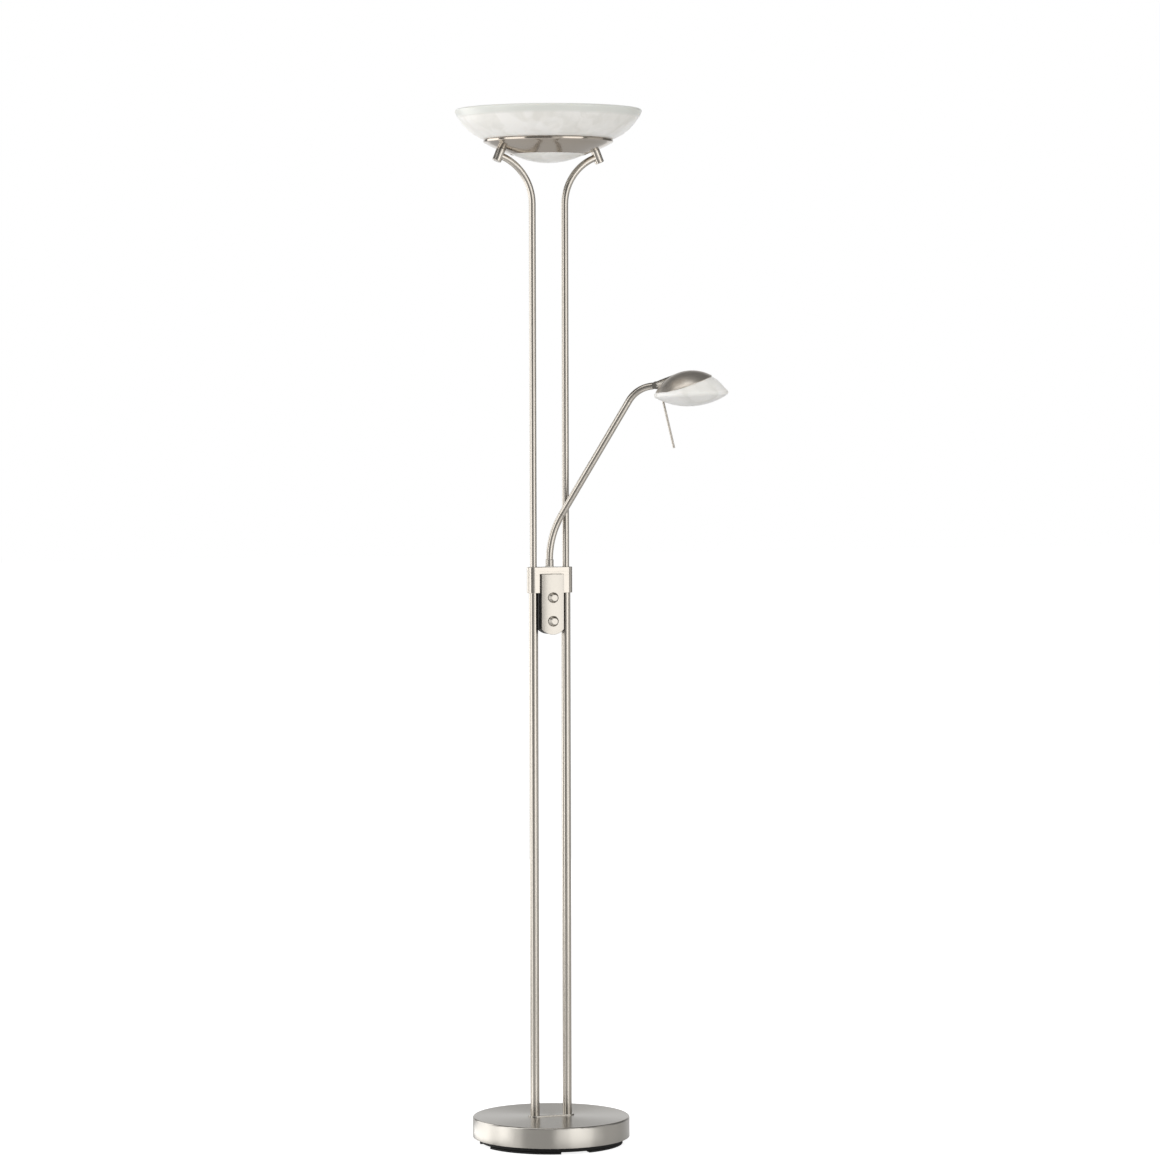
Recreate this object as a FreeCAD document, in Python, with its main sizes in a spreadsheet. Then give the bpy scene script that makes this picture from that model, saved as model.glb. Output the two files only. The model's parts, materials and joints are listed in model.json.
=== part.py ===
import FreeCAD, Part
import math
import os
import re
import Sketcher
from FreeCAD import Placement, Rotation, Vector

# Torchiere floor lamp with a reading light.
# Frame: origin on the floor under the middle of the base, +Z up, +X from pole to pole, -Y to the front.
# All lengths are millimetres and all angles are degrees.

doc = FreeCAD.newDocument("torchiere_lamp")
sheet = doc.addObject("Spreadsheet::Sheet", "Sizes")

DRIVING_SIZES = {
    # round base
    "pad_height": 3.3, "pad_width": 20, "pad_gap": 52,
    "plate_inset": 12.2, "plate_thickness": 8.7, "plate_edge": 1.5, "nut_recess_radius": 50, "plate_floor": 3,
    "weight_gap": 5.7, "weight_edge": 2, "weight_thickness": 20, "hub_radius": 52,
    "cover_radius": 137.2, "cover_height": 35.5, "cover_wall": 1.5, "cover_edge": 3,
    "weight_recess": 12, "weight_notch": 24, "stud_gap": 0.25,
    "plate_screw_circle": 95, "plate_screw_radius": 2.5, "plate_screw_length": 18,
    "screw_head_radius": 4.6, "screw_head_height": 3,
    "stud_radius": 5, "stud_bore": 3, "stud_top": 16,
    "nut_height": 8, "nut_flats": 17, "washer_radius": 11, "washer_thickness": 1.6,
    "gland_height": 22, "gland_radius": 6, "gland_bore": 3.4, "gland_flange": 2.8, "gland_depth": 10,
    "gland_nut_height": 4, "gland_nut_flats": 15, "gland_nut_gap": 0.4,
    # poles
    "foot_plate_radius": 12, "foot_plate_thickness": 2, "foot_plate_edge": 0.6,
    "pole_spacing": 60, "lower_pole_radius": 8, "upper_pole_radius": 6, "pole_wall": 1.2,
    "pole_bend": 88, "pole_end_straight": 2.2,
    # collar that ties the poles
    "collar_bottom": 963, "collar_height": 45, "collar_radius": 11.3, "collar_edge": 0.5,
    "coupler_level": 21, "coupler_flange": 3, "coupler_grip": 14,
    "collar_groove_depth": 0.6, "collar_groove_width": 0.9, "collar_groove_first": 7, "collar_groove_step": 6,
    "collar_web": 20, "collar_cavity_length": 30, "collar_cavity_depth": 18.4,
    "collar_screw_radius": 2,
    # switch unit
    "housing_width": 40, "housing_bottom": 891, "housing_front": 15.5, "housing_back": 11,
    "housing_wall": 2, "housing_arc": 26,
    "cover_overhang": 0.4, "cover_side": 1.4, "cover_crown": 1.6, "cover_rounding": 0.6,
    "switch_cover_top": 996,
    "upper_knob_level": 955, "lower_knob_level": 914,
    "board_width": 34, "board_height": 52, "board_thickness": 1.6, "board_depth": 5.6,
    "dimmer_side": 11, "dimmer_bush_radius": 4.4, "shaft_radius": 3,
    "knob_radius": 9.2, "knob_face_radius": 6, "knob_height": 8, "knob_edge": 0.8, "knob_skirt": 1.5,
    "shaft_end_gap": 1, "shaft_cover": 2,
    # shade and its dish
    "rim_level": 1801.5, "shade_radius": 163, "shade_arc": 85.6, "shade_arc_centre": 82.5,
    "shade_wall": 5, "shade_foot_radius": 99,
    "dish_hole_radius": 66, "dish_hole_level": 1724, "dish_radius": 110, "dish_slope": 22.2,
    "dish_wall": 1.5, "lip_radius": 114,
    "lower_glass_arc": 142.6, "lower_glass_radius": 72, "lower_glass_wall": 4,
    "bracket_radius": 8, "bracket_height": 23, "bracket_grip": 3.5, "bracket_edge": 0.8,
    "bracket_screw_radius": 2.4, "bracket_screw_depth": 9, "bracket_head_radius": 4.2,
    "bracket_head_height": 2.5,
    "bridge_width": 14, "bridge_thickness": 1.5, "bridge_tab": 8, "bridge_rise": 5,
    "bridge_lift": 0.15,
    "socket_spacing": 122, "socket_length": 12, "socket_depth": 14, "socket_height": 20,
    "lamp_radius": 5, "lamp_cap_radius": 3.6, "lamp_level": 14, "lamp_glass_length": 96,
    "reflector_length": 92, "reflector_width": 60, "reflector_arc": 62, "reflector_wall": 0.8,
    # reading arm
    "arm_azimuth": 32, "arm_lean": 31.2, "arm_tip_rise": 9,
    "arm_tube_radius": 6.1, "arm_tube_wall": 1.1, "arm_seam": 0.5,
    "arm_washer_radius": 8.2, "arm_washer_thickness": 1, "arm_sleeve_radius": 7.1,
    "arm_root_straight": 12, "arm_lower_bend": 150, "arm_straight_length": 231,
    "arm_upper_bend": 53, "arm_tip_straight": 1,
    "spindle_drop": 30, "spindle_nut_height": 7, "spindle_nut_flats": 14,
    "joiner_length": 18, "joiner_nose": 5, "joiner_play": 0.6, "bush_play": 0.4,
    "tip_bush_length": 6, "tip_bush_flange": 1, "swivel_shaft_radius": 3, "swivel_length": 3,
    "clip_radius": 4.2, "clip_thickness": 1,
    # reading head
    "pivot_reach": 11, "tongue_thickness": 4.6, "knuckle_radius": 6.1, "knuckle_pin_radius": 2,
    "knuckle_gap": 0.4,
    "neck_radius": 6.8, "neck_flare": 11.5, "neck_length": 36,
    "cap_arc": 71, "cap_wall": 0.9, "cap_rim_radius": 51.6, "cap_tilt": 17.4,
    "cap_centre_reach": 62, "cap_centre_drop": 45.5,
    "head_glass_radius": 64.5, "head_glass_edge": 6, "head_glass_sag": 19.3, "head_glass_tilt": 3.7,
    "head_glass_wall": 3.5,
    "head_glass_hole": 30,
    "rod_radius": 2, "rod_tilt": 13.3, "rod_reach": 12.9, "rod_drop": 34.2, "rod_length": 76.5,
    "rod_boss_radius": 4.5, "rod_boss_rise": 20, "rod_grip": 5,
    "reading_socket_radius": 9, "reading_socket_length": 26,
    "reading_lamp_radius": 6, "reading_lamp_length": 22,
    # clearances
    "running_gap": 0.05, "seat_gap": 0.1, "glass_gap": 0.3, "knob_gap": 0.3,
}

for row, (alias, number) in enumerate(DRIVING_SIZES.items(), start=1):
    sheet.set(f"A{row}", str(number))
    sheet.setAlias(f"A{row}", alias)
doc.recompute()

WORD = re.compile(r"[a-z_]+[a-z]")
UP = Vector(0, 0, 1)
ACROSS = Vector(0, 1, 0)
CLOSE = 0.001
nodes = {}


def formula(text):
    """Expression over the sheet's cells, from a text that names them by alias."""
    return WORD.sub(lambda word: f"Sizes.{word.group()}" if word.group() in DRIVING_SIZES else word.group(), text)


def value(text):
    """Number that such a text gives with the sheet's present sizes."""
    return float(sheet.evalExpression(formula(text)))


def bind(item, **properties):
    """Sets properties of an object to formulas over the sheet."""
    for name, text in properties.items():
        item.setExpression(name, formula(text))
    return item


def keep(item, label):
    """Makes an object a sub-part of its own, which is written out under its label."""
    item.Label = label
    nodes[label] = item
    return item


# --- sketches and bodies -----------------------------------------------------------------------------

def new_body(name):
    return doc.addObject("PartDesign::Body", name)


def new_sketch(body, role, level=None):
    """Sketch on one of the body's origin planes, moved along the plane's normal by level."""
    sketch = body.newObject("Sketcher::SketchObject", "outline")
    plane = next(feature for feature in body.Origin.OriginFeatures if feature.Role == role)
    sketch.AttachmentSupport = [(plane, "")]
    sketch.MapMode = "FlatFace"
    if level is not None:
        sketch.setExpression("AttachmentOffset.Base.z", formula(level))
    return sketch


def hold(sketch, kind, *where, text):
    """Adds one dimension to a sketch and ties it to a formula."""
    index = sketch.addConstraint(Sketcher.Constraint(kind, *where, value(text)))
    sketch.setExpression(f"Constraints[{index}]", formula(text))


def hold_point(sketch, edge, end, x, y):
    """Ties a point of the sketch to its two coordinates."""
    for kind, axis, text in (("DistanceX", -2, x), ("DistanceY", -1, y)):
        if text == "0":
            sketch.addConstraint(Sketcher.Constraint("PointOnObject", edge, end, axis))
        else:
            hold(sketch, kind, edge, end, text=text)


def arc_between(start, end, radius, turn):
    """Short arc from start to end, which turns left for +1 and right for -1."""
    chord = end - start
    rise = math.sqrt(max(radius ** 2 - (chord.Length / 2) ** 2, 0))
    centre = (start + end) * 0.5 + Vector(-chord.y, chord.x, 0).normalize() * rise * turn
    first, last = (start, end) if turn > 0 else (end, start)
    angles = [math.atan2(point.y - centre.y, point.x - centre.x) for point in (first, last)]
    return Part.ArcOfCircle(Part.Circle(centre, UP, radius), *angles)


def draw_chain(sketch, corners, arcs=None, closed=True):
    """Outline through corners; arcs gives (radius, turn) for the edge that leaves a corner by number."""
    arcs = arcs or {}
    first_edge = sketch.GeometryCount
    points = [Vector(value(x), value(y), 0) for x, y in corners]
    edge_count = len(points) if closed else len(points) - 1
    ends = []
    for number in range(edge_count):
        start, end = points[number], points[(number + 1) % len(points)]
        if number in arcs:
            radius, turn = arcs[number]
            sketch.addGeometry(arc_between(start, end, value(radius), turn))
            ends.append((1, 2) if turn > 0 else (2, 1))
        else:
            sketch.addGeometry(Part.LineSegment(start, end))
            ends.append((1, 2))
    for number in range(edge_count if closed else edge_count - 1):
        following = (number + 1) % edge_count
        sketch.addConstraint(Sketcher.Constraint(
            "Coincident", first_edge + number, ends[number][1], first_edge + following, ends[following][0]))
    for number in range(edge_count):
        hold_point(sketch, first_edge + number, ends[number][0], *corners[number])
        if number in arcs:
            hold(sketch, "Radius", first_edge + number, text=arcs[number][0])
    if not closed:
        hold_point(sketch, first_edge + edge_count - 1, ends[-1][1], *corners[-1])
    return sketch


def draw_circle(sketch, x, y, radius):
    circle = sketch.addGeometry(Part.Circle(Vector(value(x), value(y), 0), UP, value(radius)))
    hold_point(sketch, circle, 3, x, y)
    hold(sketch, "Radius", circle, text=radius)
    return sketch


def draw_stadium(sketch, half_spacing, radius):
    """Oblong with round ends, centred on the origin and long in X."""
    end = f"{half_spacing} + ({radius})"
    draw_chain(
        sketch,
        [(f"-({half_spacing})", f"-({radius})"), (half_spacing, f"-({radius})"), (end, "0"),
         (half_spacing, radius), (f"-({half_spacing})", radius), (f"-({end})", "0")],
        {number: (radius, 1) for number in (1, 2, 4, 5)})
    return sketch


def revolve(body, sketch, axis="V_Axis"):
    feature = body.newObject("PartDesign::Revolution", "turning")
    feature.Profile = sketch
    feature.ReferenceAxis = (sketch, [axis])
    feature.Angle = 360
    return feature


def pad(body, sketch, length, both_ways=False, backwards=False):
    feature = body.newObject("PartDesign::Pad", "pad")
    feature.Profile = sketch
    bind(feature, Length=length)
    feature.Midplane = both_ways
    feature.Reversed = backwards
    return feature


def pocket(body, sketch, length, both_ways=False, backwards=False):
    """Cut that has to take material away."""
    doc.recompute()
    before = body.Shape.Volume
    feature = body.newObject("PartDesign::Pocket", "cut")
    feature.Profile = sketch
    bind(feature, Length=length)
    feature.Midplane = both_ways
    feature.Reversed = backwards
    doc.recompute()
    if body.Shape.Volume >= before - 1e-6:
        raise ValueError(f"a cut in {body.Name} removes nothing")
    return feature


def edge_names(feature, wanted):
    """Names of the feature's edges that pass a test."""
    doc.recompute()
    return [f"Edge{number}" for number, edge in enumerate(feature.Shape.Edges, start=1) if wanted(edge)]


def dress(body, kind, size, wanted):
    """Fillet or chamfer on the edges of the body that pass a test."""
    base = body.Tip
    names = edge_names(base, wanted)
    feature = body.newObject(f"PartDesign::{kind}", kind.lower())
    feature.Base = (base, names)
    bind(feature, **{"Radius" if kind == "Fillet" else "Size": size})
    return feature


def on_outline(level, reach):
    """Test for the edges of an outline at a height, which all reach to the same distance in Y."""
    def wanted(edge):
        box = edge.BoundBox
        found = (box.ZMin, box.ZMax, max(-box.YMin, box.YMax))
        sought = (value(level), value(level), value(reach))
        return all(math.isclose(*pair, abs_tol=CLOSE) for pair in zip(found, sought))
    return wanted


def turned(name, corners, arcs=None, label=None):
    """Body turned about Z from an outline of (radius, height) corners."""
    body = new_body(name)
    revolve(body, draw_chain(new_sketch(body, "XZ_Plane"), corners, arcs))
    return keep(body, label or name)


def ring_corners(inner, outer, bottom, top):
    return [(inner, bottom), (outer, bottom), (outer, top), (inner, top)]


def hexagon_nut(name, flats, height, bore):
    """Nut that stands on the XY plane."""
    body = new_body(name)
    half = f"({flats}) / 2"
    corner = f"({flats}) / 2 / cos(30)"
    sketch = new_sketch(body, "XY_Plane")
    draw_chain(sketch, [(corner, "0"), (f"({corner}) / 2", half), (f"-({corner}) / 2", half), (f"-({corner})", "0"),
                        (f"-({corner}) / 2", f"-({half})"), (f"({corner}) / 2", f"-({half})")])
    draw_circle(sketch, "0", "0", bore)
    pad(body, sketch, height)
    return body


def group(label, pattern, placements):
    """Sub-part made of several equal solids."""
    doc.recompute()
    item = doc.addObject("Part::Feature", label)
    item.Shape = Part.makeCompound([pattern.Shape.transformed(place.Matrix, True) for place in placements])
    return keep(item, label)


def pipe(body, start_role, radius, wall, path_corners, path_arcs, start):
    """Round tube swept along a path in the XZ plane from a ring at its start."""
    spine = draw_chain(new_sketch(body, "XZ_Plane"), path_corners, path_arcs, closed=False)
    ring = new_sketch(body, start_role, start[1])
    draw_circle(ring, start[0], "0", radius)
    draw_circle(ring, start[0], "0", f"({radius}) - ({wall})")
    feature = body.newObject("PartDesign::AdditivePipe", "tube")
    feature.Profile = ring
    feature.Spine = (spine, [])
    return feature


def cylinder(name, radius, height):
    return bind(doc.addObject("Part::Cylinder", name), Radius=radius, Height=height)


def centred_box(name, length, width, height):
    item = bind(doc.addObject("Part::Box", name), Length=length, Width=width, Height=height)
    item.setExpression("Placement.Base.x", formula(f"-({length}) / 2"))
    item.setExpression("Placement.Base.y", formula(f"-({width}) / 2"))
    return item


def cut(name, base, tool):
    item = doc.addObject("Part::Cut", name)
    item.Base, item.Tool = base, tool
    return item


def turn_y(text):
    return Rotation(ACROSS, value(text))


HALF_TURN = Placement(Vector(), Rotation(UP, 180))
SIDES = {"right": Placement(), "left": HALF_TURN}

# --- heights that several pieces share ---------------------------------------------------------------

plate_top = "(pad_height + plate_thickness)"
cover_top = f"({plate_top} + cover_height)"
hub_top = f"({cover_top} - cover_wall)"
foot_top = f"({cover_top} + foot_plate_thickness)"
nut_seat = f"({plate_top} + weight_recess)"
plate_radius = "(cover_radius - plate_inset)"
weight_radius = "(cover_radius - cover_wall - weight_gap)"
stud_bottom = f"({nut_seat} - washer_thickness - nut_height - 1)"
half_spacing = "pole_spacing / 2"
lower_pole_bore = "(lower_pole_radius - pole_wall)"
upper_pole_bore = "(upper_pole_radius - pole_wall)"
coupler_bottom = "(collar_bottom + coupler_level)"
coupler_top = f"({coupler_bottom} + coupler_flange)"
collar_top = "(collar_bottom + collar_height)"


# --- base --------------------------------------------------------------------------------------------

def stud_circles(body, level, radius):
    """Sketch with the two holes that the poles' studs pass through."""
    sketch = new_sketch(body, "XY_Plane", level)
    for x in (half_spacing, f"-({half_spacing})"):
        draw_circle(sketch, x, "0", radius)
    return sketch


def repeat_round(body, features, copies):
    pattern = body.newObject("PartDesign::PolarPattern", "pattern")
    pattern.Originals = features
    pattern.Axis = (features[0].Profile[0], ["N_Axis"])
    pattern.Angle = 360
    pattern.Occurrences = copies
    body.Tip = pattern
    return pattern


def make_foot_pads():
    ring = cut("pad_ring", cylinder("pad_disc", plate_radius, "pad_height"),
               cylinder("pad_middle", f"{plate_radius} - pad_width", "pad_height"))
    across = cut("pad_halves", ring, centred_box("pad_gap_x", "2 * cover_radius", "pad_gap", "pad_height"))
    keep(cut("foot_pads", across, centred_box("pad_gap_y", "pad_gap", "2 * cover_radius", "pad_height")),
         "foot_pads")


def screw_circle(body, level, radius):
    sketch = new_sketch(body, "XY_Plane", level)
    return draw_circle(sketch, "plate_screw_circle * cos(45)", "plate_screw_circle * sin(45)", radius)


def make_base_plate():
    body = turned("base_plate", [
        ("0", "pad_height"), (f"{plate_radius} - plate_edge", "pad_height"),
        (plate_radius, "pad_height + plate_edge"), (plate_radius, plate_top),
        ("nut_recess_radius", plate_top), ("nut_recess_radius", "pad_height + plate_floor"),
        ("0", "pad_height + plate_floor")])
    through = pocket(body, screw_circle(body, plate_top, "plate_screw_radius"), "plate_thickness")
    seat = pocket(body, screw_circle(body, "pad_height + screw_head_height", "screw_head_radius"),
                  "screw_head_height")
    repeat_round(body, [through, seat], 4)


def make_base_weight():
    weight_top = f"({plate_top} + weight_thickness)"
    body = turned("base_weight", [
        ("0", plate_top), (weight_radius, plate_top), (weight_radius, f"{weight_top} - weight_edge"),
        (f"{weight_radius} - weight_edge", weight_top), ("hub_radius + weight_edge", weight_top),
        ("hub_radius", f"{weight_top} + weight_edge"), ("hub_radius", hub_top), ("0", hub_top)])
    recess = new_sketch(body, "XY_Plane", plate_top)
    pocket(body, draw_circle(recess, "0", "0", "nut_recess_radius"), "weight_recess", backwards=True)
    pocket(body, stud_circles(body, hub_top, "stud_radius + stud_gap"), "cover_height")
    notch = new_sketch(body, "XY_Plane", plate_top)
    near, far = "nut_recess_radius - stud_radius", "cover_radius"
    draw_chain(notch, [("-weight_notch / 2", near), ("weight_notch / 2", near),
                       ("weight_notch / 2", far), ("-weight_notch / 2", far)])
    pocket(body, notch, "weight_thickness", backwards=True)
    thread = pocket(body, screw_circle(body, plate_top, "plate_screw_radius"),
                    "plate_screw_length - plate_thickness + screw_head_height + seat_gap", backwards=True)
    repeat_round(body, [thread], 4)


def make_base_cover():
    body = turned("base_cover", [
        ("cover_radius - cover_wall", plate_top), ("cover_radius", plate_top),
        ("cover_radius", f"{cover_top} - cover_edge"), ("cover_radius - cover_edge", cover_top),
        ("0", cover_top), ("0", hub_top), ("cover_radius - cover_edge", hub_top),
        ("cover_radius - cover_wall", f"{cover_top} - cover_edge")],
        {2: ("cover_edge", 1), 6: ("cover_edge - cover_wall", -1)})
    pocket(body, stud_circles(body, cover_top, "stud_radius + stud_gap"), "cover_wall")
    inlet = draw_circle(new_sketch(body, "XZ_Plane"), "0", "gland_height", "gland_radius + seat_gap")
    pocket(body, inlet, "cover_radius + cover_wall")


def make_plate_screws():
    screw = turned("plate_screw", [
        ("0", "0"), ("screw_head_radius - seat_gap", "0"), ("screw_head_radius - seat_gap", "screw_head_height"),
        ("plate_screw_radius", "screw_head_height"), ("plate_screw_radius", "plate_screw_length"),
        ("0", "plate_screw_length")])
    del nodes["plate_screw"]
    reach, level = value("plate_screw_circle"), value("pad_height")
    group("plate_screws", screw, [
        Placement(Vector(0, 0, level), Rotation(UP, 45 + 90 * quarter)) * Placement(Vector(reach, 0, 0), Rotation())
        for quarter in range(4)])


def on_both_poles(label, pattern, level):
    """Two copies of a pattern, one under each pole."""
    nodes.pop(pattern.Label, None)
    x, z = value(half_spacing), value(level)
    group(label, pattern, [Placement(Vector(side * x, 0, z), Rotation()) for side in (1, -1)])


def make_pole_fixings():
    stud = turned("stud", ring_corners("stud_bore", "stud_radius", stud_bottom, f"{foot_top} + stud_top"))
    on_both_poles("pole_studs", stud, "0")
    washer = turned("washer", ring_corners("stud_radius", "washer_radius", "0", "washer_thickness"))
    on_both_poles("pole_washers", washer, f"{nut_seat} - washer_thickness")
    nut = hexagon_nut("nut", "nut_flats", "nut_height", "stud_radius")
    on_both_poles("pole_nuts", nut, f"{nut_seat} - washer_thickness - nut_height")
    plug = turned("plug", ring_corners("stud_radius", lower_pole_bore, foot_top, f"{foot_top} + stud_top"))
    on_both_poles("pole_plugs", plug, "0")


def make_gland():
    towards_back = Placement(Vector(0, 0, value("gland_height")), Rotation(Vector(1, 0, 0), -90))
    gland = turned("cord_gland", [
        ("gland_bore", "cover_radius - gland_depth"), ("gland_radius", "cover_radius - gland_depth"),
        ("gland_radius", "cover_radius"), ("gland_radius + gland_flange", "cover_radius"),
        ("gland_radius + gland_flange / 2", "cover_radius + gland_flange"),
        ("gland_bore", "cover_radius + gland_flange")])
    gland.Placement = towards_back
    nut = hexagon_nut("gland_nut", "gland_nut_flats", "gland_nut_height", "gland_radius")
    nut.Placement = towards_back * Placement(
        Vector(0, 0, value("cover_radius - cover_wall - gland_nut_gap - gland_nut_height")), Rotation())
    keep(nut, "gland_nut")


arm_bore = "(arm_tube_radius - arm_tube_wall)"


# --- poles and collar --------------------------------------------------------------------------------

slope = "dish_slope"
tip_reach = f"({half_spacing} + pole_bend * (1 - sin({slope})) + pole_end_straight * cos({slope}))"
bracket_axis_gap = "(bracket_radius - bracket_grip)"
seat_reach = f"({tip_reach} + {bracket_axis_gap} * cos({slope}) - bracket_height / 2 * sin({slope}))"
seat_level = f"(dish_hole_level + ({seat_reach} - dish_hole_radius) * tan({slope}))"
tip_level = f"({seat_level} - bracket_height / 2 * cos({slope}) - {bracket_axis_gap} * sin({slope}))"
bend_end_level = f"({tip_level} - pole_end_straight * sin({slope}))"
bend_start_level = f"({bend_end_level} - pole_bend * cos({slope}))"


def make_foot_plate():
    body = new_body("foot_plate")
    pad(body, draw_stadium(new_sketch(body, "XY_Plane", cover_top), half_spacing, "foot_plate_radius"),
        "foot_plate_thickness")
    dress(body, "Fillet", "foot_plate_edge", on_outline(foot_top, "foot_plate_radius"))
    pocket(body, stud_circles(body, foot_top, "stud_radius + stud_gap"), "foot_plate_thickness")
    keep(body, "foot_plate")


def make_poles():
    for side, place in SIDES.items():
        lower = turned(f"lower_pole_{side}", ring_corners(
            lower_pole_bore, "lower_pole_radius", foot_top, coupler_bottom))
        lower.Placement = place * Placement(Vector(value(half_spacing), 0, 0), Rotation())
        upper = new_body(f"upper_pole_{side}")
        bend_end = f"{half_spacing} + pole_bend * (1 - sin({slope}))"
        pipe(upper, "XY_Plane", "upper_pole_radius", "pole_wall",
             [(half_spacing, coupler_top), (half_spacing, bend_start_level), (bend_end, bend_end_level),
              (tip_reach, tip_level)],
             {1: ("pole_bend", -1)}, (half_spacing, coupler_top))
        upper.Placement = place
        keep(upper, f"upper_pole_{side}")
    coupler = turned("coupler", [
        ("stud_bore", f"{coupler_bottom} - coupler_grip"), (lower_pole_bore, f"{coupler_bottom} - coupler_grip"),
        (lower_pole_bore, coupler_bottom), ("lower_pole_radius", coupler_bottom),
        ("lower_pole_radius", coupler_top), (upper_pole_bore, coupler_top),
        (upper_pole_bore, f"{coupler_top} + coupler_grip"), ("stud_bore", f"{coupler_top} + coupler_grip")])
    on_both_poles("pole_couplers", coupler, "0")


def make_collar():
    body = new_body("collar")
    pad(body, draw_stadium(new_sketch(body, "XY_Plane", "collar_bottom"), half_spacing, "collar_radius"),
        "collar_height")
    for level in ("collar_bottom", collar_top):
        dress(body, "Fillet", "collar_edge", on_outline(level, "collar_radius"))
    pocket(body, stud_circles(body, "collar_bottom", "lower_pole_radius + running_gap"),
           "coupler_level + coupler_flange", backwards=True)
    pocket(body, stud_circles(body, "collar_bottom", "upper_pole_radius + running_gap"), "collar_height",
           backwards=True)
    cavity = new_sketch(body, "XY_Plane", "collar_bottom")
    x, y = "collar_cavity_length / 2", "collar_cavity_depth / 2"
    draw_chain(cavity, [(f"-{x}", f"-{y}"), (x, f"-{y}"), (x, y), (f"-{x}", y)])
    pocket(body, cavity, "collar_height - collar_web", backwards=True)
    bore = draw_circle(new_sketch(body, "XY_Plane", "collar_bottom"), "0", "0", f"{arm_bore} + running_gap")
    pocket(body, bore, "collar_height", backwards=True)
    for number in range(2):
        groove = new_sketch(body, "XY_Plane", f"{collar_top} - collar_groove_first - {number} * collar_groove_step")
        draw_stadium(groove, half_spacing, "collar_radius + 1")
        draw_stadium(groove, half_spacing, "collar_radius - collar_groove_depth")
        pocket(body, groove, "collar_groove_width")
    screws = new_sketch(body, "XZ_Plane", "-collar_radius")
    for x in (half_spacing, f"-({half_spacing})"):
        draw_circle(screws, x, "collar_bottom + coupler_level / 2", "collar_screw_radius")
    pocket(body, screws, "collar_radius - lower_pole_radius", backwards=True)
    keep(body, "collar")
    screw = cylinder("collar_screw", "collar_screw_radius", "collar_radius - lower_pole_radius")
    x, y, z = value(half_spacing), value("lower_pole_radius"), value("collar_bottom + coupler_level / 2")
    group("collar_screws", screw, [
        Placement(Vector(side * x, y, z), Rotation(Vector(1, 0, 0), -90)) for side in (1, -1)])


# --- switch unit --------------------------------------------------------------------------------------

crown_front = "(housing_front + cover_side + cover_crown)"


def arc_foot(radius, half_width):
    """Height at which the arc of the unit's lower edge meets a side."""
    return f"(housing_bottom + housing_arc - sqrt(({radius}) ^ 2 - ({half_width}) ^ 2))"


def facing(body, level):
    """Sketch on an upright plane that lies level in front of the lamp's axis."""
    return new_sketch(body, "XZ_Plane", level)


def make_switch_housing():
    body = new_body("switch_housing")
    half = "(housing_width / 2)"
    foot = arc_foot("housing_arc", half)
    shell = facing(body, "housing_front")
    draw_chain(shell, [(f"-{half}", foot), (half, foot), (half, "collar_bottom"), (f"-{half}", "collar_bottom")],
               {0: ("housing_arc", 1)})
    pad(body, shell, "housing_front + housing_back", backwards=True)
    tongue = facing(body, "housing_front")
    draw_chain(tongue, [(f"-{half}", "collar_bottom"), (half, "collar_bottom"),
                        (half, "switch_cover_top"), (f"-{half}", "switch_cover_top")])
    pad(body, tongue, "housing_front - collar_radius - seat_gap", backwards=True)
    inner_half = "(housing_width / 2 - housing_wall)"
    inner_foot = arc_foot("housing_arc - housing_wall", inner_half)
    inner_top = "collar_bottom - housing_wall"
    hollow = facing(body, "housing_front")
    draw_chain(hollow, [(f"-{inner_half}", inner_foot), (inner_half, inner_foot),
                        (inner_half, inner_top), (f"-{inner_half}", inner_top)],
               {0: ("housing_arc - housing_wall", 1)})
    pocket(body, hollow, "housing_front + housing_back - housing_wall")
    keep(body, "switch_housing")


def make_switch_cover():
    body = new_body("switch_cover")
    half = "(housing_width / 2 + cover_overhang)"
    back, edge = "-housing_front", "-(housing_front + cover_side)"
    crown_arc = f"({half} ^ 2 + cover_crown ^ 2) / (2 * cover_crown)"
    section = new_sketch(body, "XY_Plane", "housing_bottom - cover_overhang")
    draw_chain(section, [(f"-{half}", edge), (half, edge), (half, back), (f"-{half}", back)], {0: (crown_arc, 1)})
    pad(body, section, "switch_cover_top - housing_bottom + cover_overhang")
    foot = arc_foot("housing_arc + cover_overhang", half)
    below = "housing_bottom - housing_arc / 2"
    scoop = facing(body, None)
    draw_chain(scoop, [(f"-{half}", foot), (half, foot), (half, below), (f"-{half}", below)],
               {0: ("housing_arc + cover_overhang", 1)})
    pocket(body, scoop, f"3 * {crown_front}", both_ways=True)
    side_level = -value("housing_front + cover_side")
    dress(body, "Fillet", "cover_rounding", lambda item: item.BoundBox.YMax < side_level + CLOSE)
    holes = facing(body, None)
    for level in ("upper_knob_level", "lower_knob_level"):
        draw_circle(holes, "0", level, "dimmer_bush_radius + seat_gap")
    pocket(body, holes, f"3 * {crown_front}", both_ways=True)
    keep(body, "switch_cover")


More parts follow.
